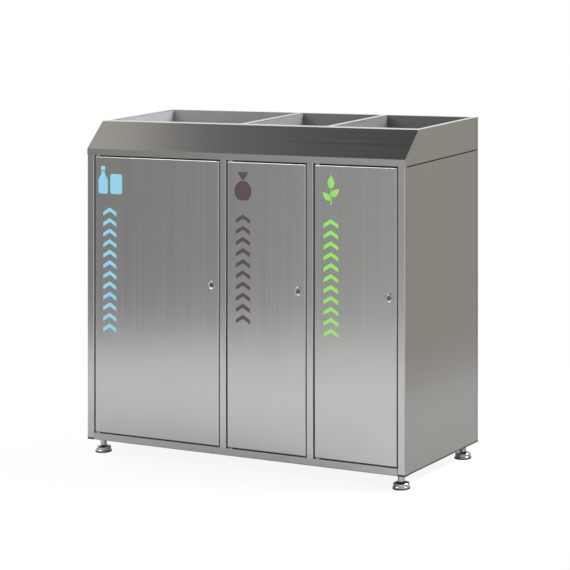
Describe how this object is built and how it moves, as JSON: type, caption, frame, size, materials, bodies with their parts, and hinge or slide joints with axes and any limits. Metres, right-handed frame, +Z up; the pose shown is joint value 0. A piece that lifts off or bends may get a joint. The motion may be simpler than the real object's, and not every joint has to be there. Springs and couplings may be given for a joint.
{
  "type": "recycling bin station",
  "caption": "Stainless steel recycling station: cabinet with keyed swing doors on levelling feet under an open hood with a sloped front, a chute and a rigid liner in each bay.",
  "frame": {"origin": "on the floor below the middle of the part, centred in width and depth", "axes": "+Z up, doors face -Y, +X to the right as seen from the front"},
  "size_m": [1.202, 0.4894, 1.092],
  "materials": {
    "steel_sheet": "satin brushed stainless sheet",
    "door_steel": "satin stainless sheet brushed upright",
    "steel_tube": "satin brushed stainless tube",
    "plated_steel": "zinc plated",
    "bush_steel": "turned bright",
    "lock_chrome": "polished plate",
    "foot_steel": "polished stainless",
    "pad_rubber": "matt black",
    "liner_plastic": "moulded polyethylene"
  },
  "bodies": {
    "cabinet": {"bottom_rail": "steel_tube", "rear_rail": "steel_tube", "side_rails": "steel_tube", "base_pan": "steel_sheet", "foot_plates": "plated_steel", "foot_nuts": "plated_steel", "left_side_panel": "steel_sheet", "right_side_panel": "steel_sheet", "back_panel": "steel_sheet", "left_mullion": "steel_tube", "right_mullion": "steel_tube", "left_divider": "steel_sheet", "right_divider": "steel_sheet", "header_rail": "steel_tube", "hood_front": "steel_sheet", "left_cheek": "steel_sheet", "right_cheek": "steel_sheet", "top_deck": "steel_sheet", "left_chute": "steel_sheet", "middle_chute": "steel_sheet", "right_chute": "steel_sheet", "left_liner": "liner_plastic", "middle_liner": "liner_plastic", "right_liner": "liner_plastic", "lower_bushes": "bush_steel", "upper_bushes": "bush_steel"},
    "left_door": {"left_door_pan": "door_steel", "left_door_pins": "plated_steel", "left_lock_body": "lock_chrome", "left_lock_nut": "plated_steel"},
    "left_lock": {"left_lock_plug": "lock_chrome", "left_lock_cam": "plated_steel"},
    "middle_door": {"middle_door_pan": "door_steel", "middle_door_pins": "plated_steel", "middle_lock_body": "lock_chrome", "middle_lock_nut": "plated_steel"},
    "middle_lock": {"middle_lock_plug": "lock_chrome", "middle_lock_cam": "plated_steel"},
    "right_door": {"right_door_pan": "door_steel", "right_door_pins": "plated_steel", "right_lock_body": "lock_chrome", "right_lock_nut": "plated_steel"},
    "right_lock": {"right_lock_plug": "lock_chrome", "right_lock_cam": "plated_steel"},
    "front_left_leveller": {"front_left_foot": "foot_steel", "front_left_pad": "pad_rubber"},
    "front_right_leveller": {"front_right_foot": "foot_steel", "front_right_pad": "pad_rubber"},
    "rear_left_leveller": {"rear_left_foot": "foot_steel", "rear_left_pad": "pad_rubber"},
    "rear_right_leveller": {"rear_right_foot": "foot_steel", "rear_right_pad": "pad_rubber"}
  },
  "joints": [
    {"name": "left_door_hinge", "type": "hinge", "parent": "cabinet", "child": "left_door", "pos_m": [-0.5585, -0.23325, 0.0705], "axis": [0, 0, -1], "range_deg": [0, 105]},
    {"name": "left_lock_turn", "type": "hinge", "parent": "left_door", "child": "left_lock", "pos_m": [-0.1045, -0.24125, 0.587], "axis": [0, -1, 0], "range_deg": [0, 90]},
    {"name": "middle_door_hinge", "type": "hinge", "parent": "cabinet", "child": "middle_door", "pos_m": [-0.0355, -0.23325, 0.0705], "axis": [0, 0, -1], "range_deg": [0, 105]},
    {"name": "middle_lock_turn", "type": "hinge", "parent": "middle_door", "child": "middle_lock", "pos_m": [0.2205, -0.24125, 0.587], "axis": [0, -1, 0], "range_deg": [0, 90]},
    {"name": "right_door_hinge", "type": "hinge", "parent": "cabinet", "child": "right_door", "pos_m": [0.2895, -0.23325, 0.0705], "axis": [0, 0, -1], "range_deg": [0, 105]},
    {"name": "right_lock_turn", "type": "hinge", "parent": "right_door", "child": "right_lock", "pos_m": [0.5455, -0.24125, 0.587], "axis": [0, -1, 0], "range_deg": [0, 90]},
    {"name": "front_left_level", "type": "slide", "parent": "cabinet", "child": "front_left_leveller", "axis": [0, 0, 1], "range_m": [-0.015, 0]},
    {"name": "front_right_level", "type": "slide", "parent": "cabinet", "child": "front_right_leveller", "axis": [0, 0, 1], "range_m": [-0.015, 0]},
    {"name": "rear_left_level", "type": "slide", "parent": "cabinet", "child": "rear_left_leveller", "axis": [0, 0, 1], "range_m": [-0.015, 0]},
    {"name": "rear_right_level", "type": "slide", "parent": "cabinet", "child": "rear_right_leveller", "axis": [0, 0, 1], "range_m": [-0.015, 0]}
  ]
}
